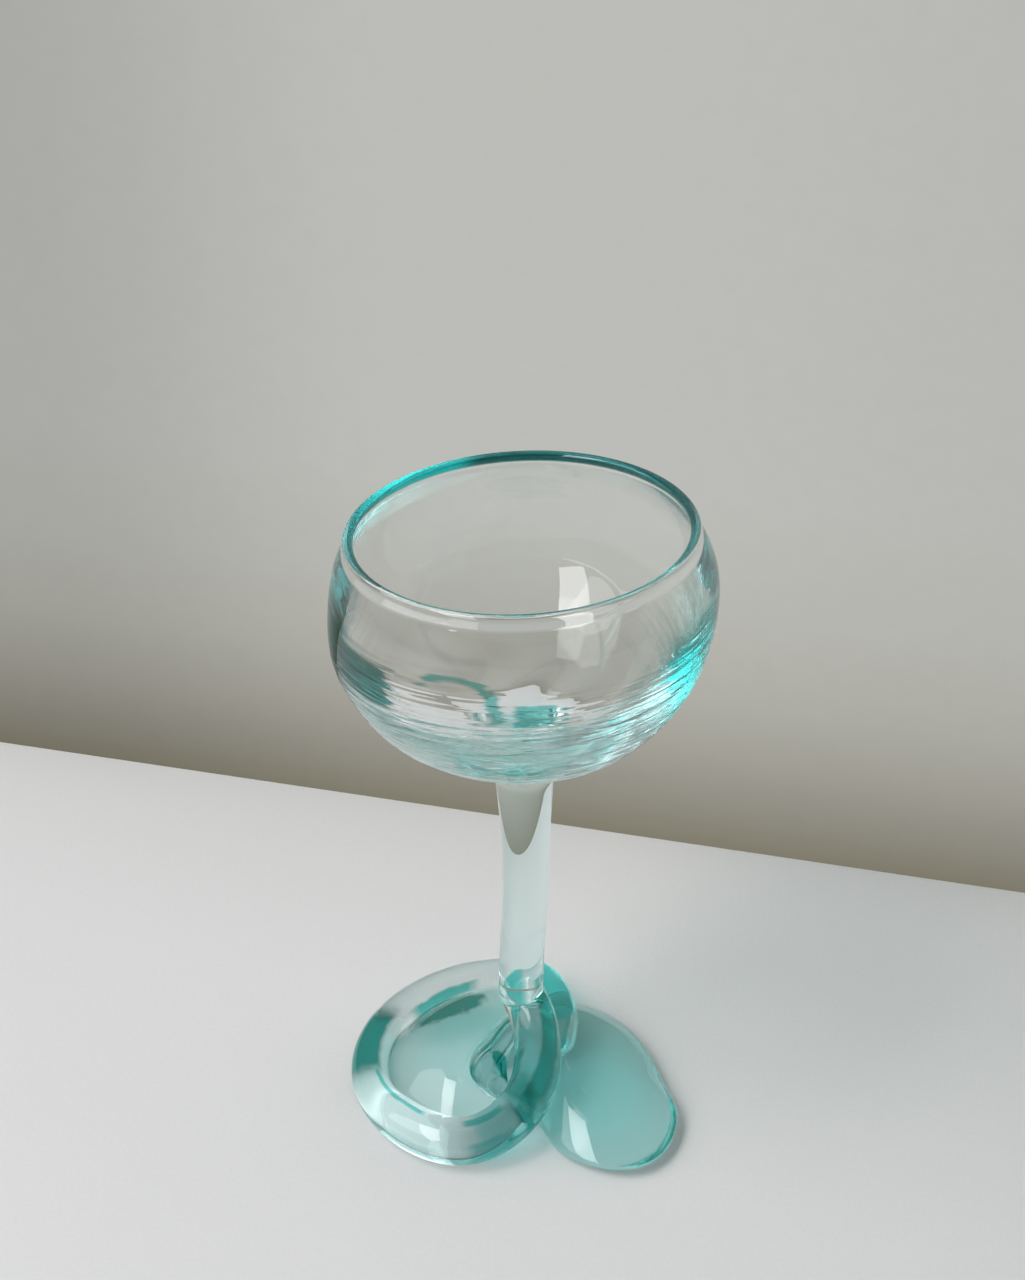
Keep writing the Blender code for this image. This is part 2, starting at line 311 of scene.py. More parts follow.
def rounded(centres, axes, radii, edge):
    """More rings that round off the last one: out by e sin a while the radius shrinks by e (1 - cos a)."""
    a = np.radians([18.0, 36.0, 52.0, 66.0, 78.0, 87.0])
    more = centres[-1] + axes[-1] * (edge * np.sin(a))[:, None]
    return (np.concatenate([centres, more]), np.concatenate([axes, np.repeat(axes[-1:], len(a), 0)]),
            np.concatenate([radii, radii[-1] - edge * (1.0 - np.cos(a))]))


def wall_line(bowl, fullness, inset, low, lip, turns, steps):
    """One face of the bowl's wall, bottom up: a superellipse belly, then a parabola in to the rim.

    Radius R sin(a)^p and height B (1 - cos(a)^p) with p = 2 / fullness, then R - (R - rim) t² up to the lip.
    """
    radius, rim = bowl.width / 2 - inset, bowl.rim / 2 - inset
    belly = bowl.depth - bowl.shoulder - low
    p = 2.0 / fullness
    t = np.linspace(0.0, 1.0, steps + 1)
    r = np.concatenate([radius * np.sin(turns) ** p, radius - (radius - rim) * t * t])
    h = np.concatenate([low + belly * (1.0 - np.cos(turns) ** p), low + belly + (bowl.shoulder - lip) * t])
    return r, h


def tool_marks(height, angle):
    """Fine ridges low on the belly: sines of height whose phase drifts with the angle.

    They come in patches, fade out up the side and are nearly gone behind.
    """
    h, a = height[:, None], angle[None]
    drift = 1.3 * np.sin(a + 0.4) + 0.8 * np.sin(2 * a + 1.9) + 0.5 * np.sin(5 * a + 1.0)
    waves = (np.sin(2 * np.pi * h / 0.0037 + 2.0 * drift)
             + 0.8 * np.sin(2 * np.pi * h / 0.0021 - 3.1 * drift + 2.0 * np.sin(3 * a))
             + 0.6 * np.sin(2 * np.pi * h / 0.0012 + 4.3 * drift + 1.0))
    fade = smooth((h - 0.001) / 0.006) * smooth((0.050 - h + 0.003 * np.sin(3 * a + 1.0)) / 0.016)
    fade = fade * (0.06 + 0.94 * smooth(0.45 + np.sin(a)))
    patchy = 0.7 + 0.5 * np.sin(2 * a + 0.9 + 2 * np.pi * h / 0.019) * np.sin(3 * a + 2.3)
    return waves * fade * patchy


def swirl(bowl, place):
    """Broad waves inside the bottom: a sine across, bent by a sine in depth, faded out up the sides."""
    x, y = place[..., 0], place[..., 1]
    wave = np.sin(2 * np.pi * x / 0.023 + 1.6 * np.sin(2 * np.pi * y / 0.027 + 0.8) + 0.6)
    return bowl.swirl * wave * smooth((0.027 - np.hypot(x, y)) / 0.015)


def loop_oval(foot, angle):
    """Loop's centre line in plan: an oval, three-sided by a twentieth, turned about its middle."""
    k = 1.0 - OVAL_SIDES * np.cos(3.0 * (angle - OVAL_TURN))
    x, y = foot.loop_half[0] * k * np.cos(angle), foot.loop_half[1] * k * np.sin(angle)
    c, s = math.cos(foot.loop_turn), math.sin(foot.loop_turn)
    return np.stack([foot.loop_centre[0] + x * c - y * s, foot.loop_centre[1] + x * s + y * c], -1)


def rod_path(foot, u):
    """Foot rod's centre line and radii at u turns.

    It is eased out from the stem onto the oval while it sinks to the table as a quarter of a sine.
    """
    r = foot.rod / 2 * eased(ROD_TAPER, u)
    out = smooth(u / ROD_OUT)[:, None]
    rest = r - ROD_GROUND + TAIL_LIFT * smooth((u - TAIL_FROM) / TAIL_TAKES)
    drop = np.sin(np.pi / 2 * np.clip(u / ROD_DOWN, 0.0, 1.0))
    z = rest + (foot.collar - rest) * (1.0 - drop)
    return np.concatenate([loop_oval(foot, ROD_ENTRY - 2 * np.pi * u) * out, z[:, None]], -1), r


def bowl_skin(bowl, foot, around=160):
    """Bowl and stem as one skin: up the inside, over the lip, down the outside, the fillet and the stem.

    Each point keeps its height above the bowl's outer bottom, and 1 where it lies on the outside.
    """
    lip = 0.4 * bowl.wall
    up = np.array([-math.sin(bowl.lean), 0.0, math.cos(bowl.lean)])
    belly = bowl.depth - bowl.shoulder
    pole = np.array([bowl.shift + belly * math.sin(bowl.lean), 0.0,
                     bowl.height - bowl.depth * math.cos(bowl.lean)])

    # Wall: the cavity, the lip as a squared half circle, and the outside down to the fillet
    turns = np.linspace(0.0, np.pi / 2, 60)[1:-1]
    r_in, h_in = wall_line(bowl, bowl.inside, bowl.wall, bowl.bottom, lip, turns, 22)
    a = np.linspace(0.0, np.pi, 33)[1:-1]
    drop = np.where(a < np.pi / 2, lip, bowl.lip)
    across = np.sign(np.cos(a)) * np.abs(np.cos(a)) ** 0.8
    r_lip = bowl.rim / 2 - bowl.wall / 2 * (1.0 + across)
    h_lip = bowl.depth - drop * (1.0 - np.sin(a) ** 0.8)
    low = math.asin((FILLET_FROM / (bowl.width / 2)) ** (bowl.fullness / 2.0))
    turns = np.linspace(low, np.pi / 2, 190)[:-1]
    r_out, h_out = wall_line(bowl, bowl.fullness, 0.0, 0.0, bowl.lip, turns, 30)
    r_out, h_out = r_out[::-1], h_out[::-1]

    # Fillet under the bowl: a cubic from the belly to the stem, along both of them at its ends
    stem_z = pole[2] - FILLET_DROP
    span = pole[2] + 0.002 - foot.collar

    def stem_radius(z):
        flare = np.clip(((z - foot.collar) / span - 0.35) / 0.65, 0, 1) ** 2.2
        return (foot.stem + (foot.stem_top - foot.stem) * flare) / 2

    def stem_line(z):
        s = np.clip((z - foot.collar) / span, 0.0, 1.0)
        x = foot.bow * np.sin(np.pi * s) ** 2 + bowl.shift * smooth(s)
        return np.stack([x, np.zeros_like(z), z], -1)

    t = np.linspace(0.0, 1.0, 17)[1:, None]
    p0, p1 = np.array([r_out[-1], h_out[-1]]), np.array([stem_radius(stem_z), -FILLET_DROP])
    d0 = unit(np.array([r_out[-1] - r_out[-2], h_out[-1] - h_out[-2]])) * FILLET_PULL
    d1 = np.array([stem_radius(stem_z - 0.001) - p1[0], -0.001]) / 0.001 * FILLET_PULL
    fill = ((2 * t ** 3 - 3 * t ** 2 + 1) * p0 + (t ** 3 - 2 * t ** 2 + t) * d0
            + (3 * t ** 2 - 2 * t ** 3) * p1 + (t ** 3 - t ** 2) * d1)

    # Slump of the belly, from 6 to 51 mm up, and the turn of the low rings from the bowl's axis to the stem's
    r = np.concatenate([r_in, r_lip, r_out, fill[:, 0]])
    h = np.concatenate([h_in, h_lip, h_out, fill[:, 1]])
    slump = smooth((h - 0.006) / 0.010) * smooth((0.051 - h) / 0.022)
    r = r + bowl.spread * slump
    leaning = pole + h[:, None] * up - np.array([1.0, 0.0, 0.0]) * (bowl.sag * slump)[:, None]
    outside = len(r_in) + len(r_lip)
    w = smooth((FILLET_TURNS[0] - r) / (FILLET_TURNS[0] - FILLET_TURNS[1]))
    below = np.arange(len(r)) > outside + 40
    w = np.where(below, w, 0.0)[:, None]
    centres = (1 - w) * leaning + w * stem_line(leaning[:, 2])
    axes = (1 - w) * -up + w * DOWN

    # Stem down to the start of the curl, and the cone that seats it in the rod
    z = np.linspace(stem_z, foot.collar, 62)[1:-1]
    curl, curl_r = rod_path(foot, np.linspace(0.0, ROD_JOIN, 10))
    lower = np.concatenate([stem_line(z), curl])
    lower_axes = unit(np.gradient(lower, axis=0))
    blend = np.linspace(0, 1, 8)[:, None]
    lower_axes[:8] = unit((1 - blend) * DOWN + blend * lower_axes[:8])
    lower_r = np.concatenate([stem_radius(z), curl_r])
    share = np.linspace(1.0, 0.05, 12)[1:]
    tip = lower[-1] + lower_axes[-1] * (foot.dish * (1.0 - share))[:, None]
    lower, lower_r = np.concatenate([lower, tip]), np.concatenate([lower_r, lower_r[-1] * share])
    lower_axes = np.concatenate([lower_axes, np.repeat(lower_axes[-1:], len(share), 0)])

    # Rings round it all, with the tool marks outside and the swirl inside
    angle = np.linspace(0.0, 2.0 * np.pi, around, endpoint=False)
    radii = np.repeat(np.concatenate([r, lower_r])[:, None], around, 1)
    radii[outside:outside + len(r_out)] += bowl.marks * tool_marks(h_out, angle)
    centres = np.concatenate([centres, lower])
    axes = np.concatenate([axes, lower_axes])
    refs = np.broadcast_to([1.0, 0.0, 0.0], centres.shape)
    rings = carried(centres, axes, refs, radii, around)
    rings[:len(r_in)] += up * swirl(bowl, rings[:len(r_in)] - pole)[..., None]
    rise = np.concatenate([h, np.full(len(lower), h[-1])])
    outer = (np.arange(len(rise)) >= len(r_in) + len(r_lip) // 2) * 1.0
    notes = {"rise": np.repeat(rise[:, None], around, 1), "outer": np.repeat(outer[:, None], around, 1)}
    first = pole + up * (bowl.bottom + swirl(bowl, np.zeros(3)))
    return skin("blown_bowl", rings, first, centres[-1], notes)


def rod_skin(name, foot, grow=0.0, around=96):
    """Foot rod as a circle carried round its curl, dished to seat the stem, with a rounded tail.

    It is grown by a gap where it serves to cut its neighbours. Each point keeps its turns along the rod,
    and the cosine of its place round the section: 1 outside, -1 inside.
    """
    turns = np.linspace(ROD_JOIN, ROD_TURNS, 260)
    line, radii = rod_path(foot, turns)
    radii = radii + grow
    axes = unit(np.gradient(line, axis=0))
    line[0] += axes[0] * (foot.gap - grow)
    share = np.linspace(0.05, 1.0, 12)[:-1]
    tip = line[0] + axes[0] * (foot.dish * (1.0 - share))[:, None]
    line, radii = np.concatenate([tip, line]), np.concatenate([radii[0] * share, radii])
    axes = np.concatenate([np.repeat(axes[:1], len(share), 0), axes])
    line, axes, radii = rounded(line, axes, radii, radii[-1] * 0.98)
    refs = line - np.array([*foot.loop_centre, 0.0])
    refs[:, 2] = 0.0
    rings = carried(line, axes, unit(refs), radii, around)
    if not grow:
        rings[..., 2] = np.maximum(rings[..., 2], foot.lift)
    along = np.interp(np.arange(len(line)), np.arange(len(turns)) + len(share), turns)
    side = np.cos(np.linspace(0.0, 2.0 * np.pi, around, endpoint=False))
    notes = {"along": np.repeat(along[:, None], around, 1), "side": np.repeat(side[None], len(line), 0)}
    return skin(name, rings, line[0], line[-1], notes)


def pebble(name, centre, reach, low, side, crown, tuck=0.18, steps=180):
    """Melted pad: a dome of (1 - s²) to a power, tucked in under its widest point to a flat.

    The section runs out from the crown as (share of the reach, height). It is carried round the bearings
    of the outline and scaled to its reach at each.
    """
    a = np.linspace(0.05, np.pi / 2, 56)
    b = np.linspace(0.0, np.pi / 2, 12)[1:]
    t = np.linspace(1.0 - tuck, 0.05, 10)[1:]
    share = np.concatenate([np.sin(a), 1.0 - tuck * (1.0 - np.cos(b)), t])[:, None]
    dome = side + (crown - side) * np.maximum(np.cos(a), 0.0) ** (2.0 * DOME_POWER)
    height = np.concatenate([dome, side - (side - low) * np.sin(b), np.full_like(t, low)])
    bearing = -np.linspace(0.0, 2.0 * np.pi, steps, endpoint=False)
    out = share * reach(bearing)[None]
    rings = np.stack([centre[0] + out * np.cos(bearing), centre[1] + out * np.sin(bearing),
                      np.broadcast_to(height[:, None], out.shape)], -1)
    return skin(name, rings, (*centre, crown), (*centre, low))


def lobe_reach(angle):
    """Catmull-Rom round the lobe's reaches."""
    n = len(LOBE_REACH)
    place = (angle % (2 * np.pi)) / (2 * np.pi) * n
    i = place.astype(int)
    t = place - i
    a, b, c, d = (LOBE_REACH[(i + k) % n] for k in (-1, 0, 1, 2))
    return b + 0.5 * t * (c - a + t * (2 * a - 5 * b + 4 * c - d + t * (3 * (b - c) + d - a)))


def disc_reach(foot):
    """Reach at any bearing from the loop's middle to the rod's inner side, less the gap."""
    turn = np.linspace(0.0, 2 * np.pi, 721)
    u = ((ROD_ENTRY - turn) / (2 * np.pi)) % 1.0
    tail = ROD_TAPER[-1, 1]
    share = np.where(u < ROD_OUT, tail + (1.0 - tail) * smooth(u / ROD_OUT), eased(ROD_TAPER, u))
    p = loop_oval(foot, turn) - np.array(foot.loop_centre)
    bearing = np.unwrap(np.arctan2(p[:, 1], p[:, 0]))
    reach = np.hypot(p[:, 0], p[:, 1]) - foot.rod / 2 * share - foot.gap

    def at(angle):
        return np.interp((angle - bearing[0]) % (2 * np.pi), bearing - bearing[0], reach)
    return at


def lobe_skin(name, foot, grow=0.0):
    """Lobe's pebble, grown by a gap where it serves to cut the disc."""
    low = foot.lift - (0.001 if grow else 0.0)
    return pebble(name, foot.lobe_centre, lambda a: lobe_reach(a) + grow, low,
                  foot.lobe_side, foot.lobe_crown + grow)


def cut(piece, other):
    """Take another closed mesh out of a piece, and keep the result as its mesh."""
    tool = piece.modifiers.new("cut", "BOOLEAN")
    tool.operation, tool.solver, tool.object = "DIFFERENCE", "MANIFOLD", other
    mesh = bpy.data.meshes.new_from_object(piece.evaluated_get(bpy.context.evaluated_depsgraph_get()))
    piece.modifiers.clear()
    old, piece.data = piece.data, mesh
    mesh.name = piece.name
    bpy.data.meshes.remove(old)
    bpy.data.objects.remove(other)
    mesh.set_sharp_from_angle(angle=math.radians(40))


class Wire:
    """A node socket that takes part in Python arithmetic."""

    def __init__(self, tree, socket=None):
        self.tree, self.socket = tree, socket

    def node(self, kind, inputs=(), output=0, stops=(), **settings):
        """Add a node: its settings and any ramp stops first, then the values or links of its sockets."""
        made = self.tree.nodes.new(kind)
        for key, value in settings.items():
            setattr(made, key, value)
        for spare in range(len(stops) - 2):
            made.color_ramp.elements.new((spare + 1.0) / len(stops))
        for element, (place, colour) in zip(made.color_ramp.elements if stops else (), stops):
            element.position, element.color = place, (*colour, 1.0)
        for key, value in dict(inputs).items():
            if isinstance(value, Wire):
                self.tree.links.new(value.socket, made.inputs[key])
            else:
                made.inputs[key].default_value = value
        return Wire(self.tree, made.outputs[output])

    def maths(self, operation, a, b=0.0):
        """A Math node on two values."""
        return self.node("ShaderNodeMath", {0: a, 1: b}, operation=operation)

    def __add__(self, other):
        return self.maths("ADD", self, other)

    def __sub__(self, other):
        return self.maths("SUBTRACT", self, other)

    def __rsub__(self, other):
        return self.maths("SUBTRACT", other, self)

    def __mul__(self, other):
        return self.maths("MULTIPLY", self, other)

    __radd__, __rmul__ = __add__, __mul__

    def ramp(self, low, high, to_low=0.0, to_high=1.0):
        """This value from one range to another, eased and held at both ends."""
        return self.node("ShaderNodeMapRange", {0: self, 1: low, 2: high, 3: to_low, 4: to_high},
                         interpolation_type="SMOOTHSTEP")

    def mix(self, a, b):
        """Colour a where this value is 0 and colour b where it is 1."""
        return self.node("ShaderNodeMix", {0: self, 6: a, 7: b}, output=2, data_type="RGBA")


def material(name):
    """A new material, its shader and a wire into its nodes."""
    made = bpy.data.materials.new(name)
    made.use_nodes = True
    return made, made.node_tree.nodes["Principled BSDF"], Wire(made.node_tree)


def glass(name, colour, density, passed):
    """Clear glass whose depth takes up a colour, ground on its underside.

    Passed is the share of lamp light that goes straight through it to what it shades. The shader and a wire
    come with it, for tints of the surface.
    """
    made, shader, wire = material(name)
    tree = made.node_tree
    shader.inputs["Base Color"].default_value = WHITE
    shader.inputs["Roughness"].default_value = 0.0
    shader.inputs["IOR"].default_value = 1.5
    shader.inputs["Transmission Weight"].default_value = 1.0
    place = wire.node("ShaderNodeTexCoord", output="Object")
    height = wire.node("ShaderNodeSeparateXYZ", {0: place}, output="Z")
    tree.links.new(height.ramp(*GROUND_ENDS, 0.12, 0.0).socket, shader.inputs["Roughness"])
    soak = wire.node("ShaderNodeVolumeAbsorption", {"Color": (*colour, 1.0), "Density": density})
    tree.links.new(soak.socket, tree.nodes["Material Output"].inputs["Volume"])

    # Ground glass scatters under the piece, and lamp light goes straight through with a little less red
    frost = wire.node("ShaderNodeBsdfDiffuse", {"Color": (0.97, 0.98, 0.98, 1.0)})
    ground = height.ramp(*GROUND_ENDS, 0.85, 0.0)
    mixed = wire.node("ShaderNodeMixShader", {0: ground, 1: Wire(tree, shader.outputs[0]), 2: frost})
    lamp = wire.node("ShaderNodeLightPath", output="Is Shadow Ray")
    straight = wire.node("ShaderNodeBsdfTransparent", {0: (0.92 * passed, passed, passed, 1.0)})
    mixed = wire.node("ShaderNodeMixShader", {0: lamp, 1: mixed, 2: straight})
    tree.links.new(mixed.socket, tree.nodes["Material Output"].inputs["Surface"])
    return made, shader, wire


def band(value, low, high, soft):
    """1 where a value lies between two others, eased off over a width at both ends."""
    return value.ramp(low - soft, low + soft) * value.ramp(high - soft, high + soft, 1.0, 0.0)


def bowl_paint(wire, bowl):
    """Teal of the bowl's glass, with painted light, painted shade and painted refraction of the foot, and how
    cloudy its low belly is.

    Each tint is a mask of the height, of the place across and of the place behind, with streaked edges.
    """
    place = wire.node("ShaderNodeTexCoord", output="Object")
    drawn = wire.node("ShaderNodeVectorMath", {0: place, 1: (45.0, 45.0, 700.0)}, operation="MULTIPLY")
    streak = wire.node("ShaderNodeTexNoise", {"Vector": drawn, "Scale": 1.0, "Detail": 3.0}) - 0.5
    across = wire.node("ShaderNodeSeparateXYZ", {0: place}, output="X")
    back = wire.node("ShaderNodeSeparateXYZ", {0: place}, output="Y")
    rise = wire.node("ShaderNodeAttribute", output="Fac", attribute_name="rise")
    outer = wire.node("ShaderNodeAttribute", output="Fac", attribute_name="outer")
    front = outer * back.ramp(-0.006, 0.0, 1.0, 0.0)
    flank = outer * (back + streak * 0.030).ramp(-0.014, 0.024, 1.0, 0.0)
    ragged = across + streak * 0.012

    # Lip: a line in front that widens to a band behind, the glass's teal seen along the wall, with painted
    # light that makes it brighter at the back's left and at the right
    lip = (rise + back.ramp(-0.041, -0.016, 0.0007, 0.0023)).ramp(bowl.depth - 0.0003, bowl.depth + 0.0003)
    shade = (band(across, -0.036, -0.014, 0.004) * back.ramp(0.005, 0.015)).mix(
        BOWL_TINTS_AND_PAINTED_LIGHT["lip"], BOWL_TINTS_AND_PAINTED_LIGHT["lip_painted_light_left"])
    shade = (across.ramp(0.026, 0.032) * back.ramp(-0.006, 0.0, 1.0, 0.0)).mix(
        shade, BOWL_TINTS_AND_PAINTED_LIGHT["lip_painted_light_right"])
    paint = ((1.0 - outer * back.ramp(0.0, 0.010, 1.0, 0.0)) * lip).mix(WHITE, shade)

    # Sides, where the wall is seen edge-on: painted light in the right tint, and painted shade in a patch and
    # along the edge on the left
    low = wire.maths("MAXIMUM", 0.0306 - rise, 0.0) * 1.45
    rough = rise + streak * 0.010
    right = flank * (ragged + low).ramp(0.031, 0.035) * band(rough, 0.009, 0.0475, 0.004)
    paint = right.mix(paint, BOWL_TINTS_AND_PAINTED_LIGHT["right"])
    thin = back.ramp(-0.016, 0.016, 0.0, 0.0045)
    fine = rise + streak * 0.005
    painted_shade_patch = (fine - thin).ramp(0.0340, 0.0356) * (fine + thin).ramp(0.0450, 0.0466, 1.0, 0.0)
    painted_shade_patch = flank * painted_shade_patch * ragged.ramp(-0.0318, -0.0302, 1.0, 0.0)
    paint = painted_shade_patch.mix(paint, BOWL_TINTS_AND_PAINTED_LIGHT["painted_shade_patch"])
    edge = flank * band(rough, 0.036, 0.052, 0.005) * across.ramp(-0.0436, -0.0415, 1.0, 0.0)
    paint = edge.mix(paint, BOWL_TINTS_AND_PAINTED_LIGHT["edge"])

    # Painted refraction of the foot: a stroke along under the widest circle, then down toward the stem, with
    # a plug beside it
    bend = rise + (across + 0.016) * (across + 0.016) * 30.0
    painted_refraction_stroke = band(bend + streak * 0.004, 0.0469, 0.0489, 0.0006) * band(ragged, -0.0235, -0.0085, 0.0015)
    leg = across + rise * 0.2 + streak * 0.006
    painted_refraction_stroke = painted_refraction_stroke + band(leg, -0.0002, 0.0032, 0.0008) * band(rise, 0.0365, 0.0462, 0.0010)
    paint = (front * painted_refraction_stroke).mix(paint, BOWL_TINTS_AND_PAINTED_LIGHT["painted_refraction_stroke"])
    painted_refraction_plug = band(across + streak * 0.006, -0.0018, 0.0076, 0.0008)
    painted_refraction_plug = painted_refraction_plug * band(rise + streak * 0.004, 0.0360, 0.0424, 0.0006)
    paint = (front * painted_refraction_plug).mix(paint, BOWL_TINTS_AND_PAINTED_LIGHT["painted_refraction_plug"])

    # Painted shade low on the right, greying the glass there
    painted_shade_low_right = front * band(across + streak * 0.010, 0.0085, 0.034, 0.006)
    painted_shade_low_right = painted_shade_low_right * band(rise + streak * 0.006, 0.0135, 0.034, 0.004)
    paint = painted_shade_low_right.mix(paint, BOWL_TINTS_AND_PAINTED_LIGHT["painted_shade_low_right"])

    # Painted refraction of the foot low in front: a pale crescent under a dark thread
    sill = rise - across * 0.08 + streak * 0.001
    bowed = rise - (across + 0.001) * (across + 0.001) * 33.0
    painted_refraction_pool = front * sill.ramp(0.0270, 0.0275, 1.0, 0.0) * bowed.ramp(0.0172, 0.0184)
    paint = painted_refraction_pool.mix(paint, BOWL_TINTS_AND_PAINTED_LIGHT["painted_refraction_pool"])
    painted_refraction_thread = front * band(sill, 0.0272, 0.0276, 0.0002) * band(across, -0.028, 0.002, 0.002)
    painted_refraction_thread = painted_refraction_thread + front * band(bowed, 0.0176, 0.0186, 0.0005) * band(across, -0.014, 0.006, 0.002)
    paint = painted_refraction_thread.mix(paint, BOWL_TINTS_AND_PAINTED_LIGHT["painted_refraction_thread"])

    # Stem, a shade deeper than the bowl, and the cloudy belly
    paint = rise.ramp(-0.0088, -0.0070, 1.0, 0.0).mix(paint, BOWL_TINTS_AND_PAINTED_LIGHT["stem"])
    cloudy = band(rise + streak * 0.012, 0.001, 0.031, 0.002) * outer * 0.05
    return paint, cloudy


def rod_painted_shade(wire):
    """Painted shade and light in the foot rod's teal, by its turns along the curl and its place round the
    section.
    """
    place = wire.node("ShaderNodeTexCoord", output="Object")
    cloud = wire.node("ShaderNodeTexNoise", {"Vector": place, "Scale": 190.0, "Detail": 3.0}) - 0.5
    along = wire.node("ShaderNodeAttribute", output="Fac", attribute_name="along") + cloud * 0.03
    side = wire.node("ShaderNodeAttribute", output="Fac", attribute_name="side") + cloud * 0.2
    paint = WHITE
    for turns, places, slant, tint in ROD_PAINTED_SHADE_AND_LIGHT:
        mask = band(along, *turns) * band(side + along * slant, *places)
        paint = mask.mix(paint, tint)
    return paint


def disc_painted_shade(wire):
    """Painted shade: dark teal patches at the disc's back and beside the rod, ovals in plan with clouded
    edges.
    """
    place = wire.node("ShaderNodeTexCoord", output="Object")
    cloud = wire.node("ShaderNodeTexNoise", {"Vector": place, "Scale": 260.0, "Detail": 4.0}) - 0.5
    x = wire.node("ShaderNodeSeparateXYZ", {0: place}, output="X")
    y = wire.node("ShaderNodeSeparateXYZ", {0: place}, output="Y")
    paint = WHITE
    for middle, turn, half, tint in DISC_PAINTED_SHADE:
        c, s = math.cos(turn), math.sin(turn)
        u = ((x - middle[0]) * c + (y - middle[1]) * s) * (1.0 / half[0])
        v = ((y - middle[1]) * c - (x - middle[0]) * s) * (1.0 / half[1])
        inside = (u * u + v * v + cloud * 1.4).ramp(0.65, 1.25, 1.0, 0.0)
        paint = inside.mix(paint, tint)
    return paint


def settle(piece, finish, slot, *nodes):
    """Give a piece its one finish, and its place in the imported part."""
    piece.data.materials.clear()
    piece.data.materials.append(finish)
    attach(piece, "root")
    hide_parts(*nodes)


class GLASS_OT_bowl(bpy.types.Operator):
    """Blow the bowl and draw the stem out of it"""

    bl_idname = "glass.bowl"
    bl_label = "Bowl and stem"

    def execute(self, context):
        bowl, foot, looks = context.scene.bowl_sizes, context.scene.foot_sizes, context.scene.glass_looks
        piece = bowl_skin(bowl, foot)
        made, shader, wire = glass("clear_aqua", looks.clear, looks.clear_density, passed=0.84)
        paint, cloudy = bowl_paint(wire, bowl)
        wire.tree.links.new(paint.socket, shader.inputs["Base Color"])
        wire.tree.links.new(cloudy.socket, shader.inputs["Roughness"])
        settle(piece, made, "bowl_glass", "bowl", "stem")
        return {"FINISHED"}


class GLASS_OT_loop(bpy.types.Operator):
    """Curl the foot rod round from the stem"""

    bl_idname = "glass.loop"
    bl_label = "Foot loop"

    def execute(self, context):
        foot, looks = context.scene.foot_sizes, context.scene.glass_looks
        piece = rod_skin("curled_rod", foot)
        made, shader, wire = glass("loop_aqua", looks.loop, looks.loop_density, passed=0.65)
        wire.tree.links.new(rod_painted_shade(wire).socket, shader.inputs["Base Color"])
        settle(piece, made, "loop_glass", "foot_loop")
        return {"FINISHED"}


class GLASS_OT_lobe(bpy.types.Operator):
    """Press the lobe under the loop"""

    bl_idname = "glass.lobe"
    bl_label = "Foot lobe"

    def execute(self, context):
        foot, looks = context.scene.foot_sizes, context.scene.glass_looks
        piece = lobe_skin("melted_lobe", foot)
        cut(piece, rod_skin("rod_seat", foot, foot.gap))
        made = glass("lobe_aqua", looks.foot, looks.foot_density, passed=0.18)[0]
        settle(piece, made, "lobe_glass", "foot_lobe")
        return {"FINISHED"}


class GLASS_OT_disc(bpy.types.Operator):
    """Melt the domed disc into the loop"""

    bl_idname = "glass.disc"
    bl_label = "Foot disc"

    def execute(self, context):
        foot, looks = context.scene.foot_sizes, context.scene.glass_looks
        piece = pebble("domed_disc", foot.loop_centre, disc_reach(foot), foot.lift,
                       foot.disc_side, foot.disc_crown)
        cut(piece, rod_skin("rod_seat", foot, foot.gap))
        cut(piece, lobe_skin("lobe_seat", foot, foot.gap))
        made, shader, wire = glass("disc_aqua", looks.foot, looks.disc_density, passed=0.26)
        wire.tree.links.new(disc_painted_shade(wire).socket, shader.inputs["Base Color"])
        settle(piece, made, "disc_glass", "foot_disc")
        return {"FINISHED"}


